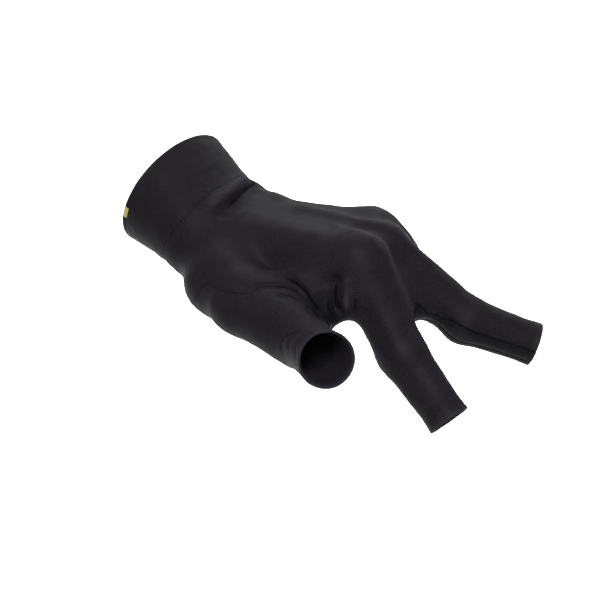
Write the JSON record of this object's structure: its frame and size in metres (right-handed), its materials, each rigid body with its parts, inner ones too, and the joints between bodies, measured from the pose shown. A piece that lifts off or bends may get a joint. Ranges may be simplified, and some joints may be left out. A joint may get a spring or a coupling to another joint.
{
  "type": "billiard glove",
  "caption": "Stretch cloth glove for a billiard player's bridge hand, kept in its worn form, open at the wrist, thumb, fingertips and ring-finger side.",
  "frame": {"origin": "middle of the wrist inside the glove, where a hand holds it up", "axes": "+X from the wrist towards the fingertips, +Y towards the little-finger side, +Z out of the back of the hand with the palm level and facing down"},
  "size_m": [0.1853, 0.1494, 0.0969],
  "materials": {
    "cloth": "matte stretch knit",
    "thread": "overlocked thread",
    "tab": "satin-stitched thread"
  },
  "bodies": {
    "root": {"cuff": "cloth", "cuff_seam": "thread", "hand_shell": "cloth", "thumb_sheath": "cloth", "thumb_seam": "thread", "finger_gusset": "cloth", "gusset_back_seam": "thread", "gusset_palm_seam": "thread", "middle_side_seam": "thread", "wrist_tab": "tab"}
  },
  "joints": []
}
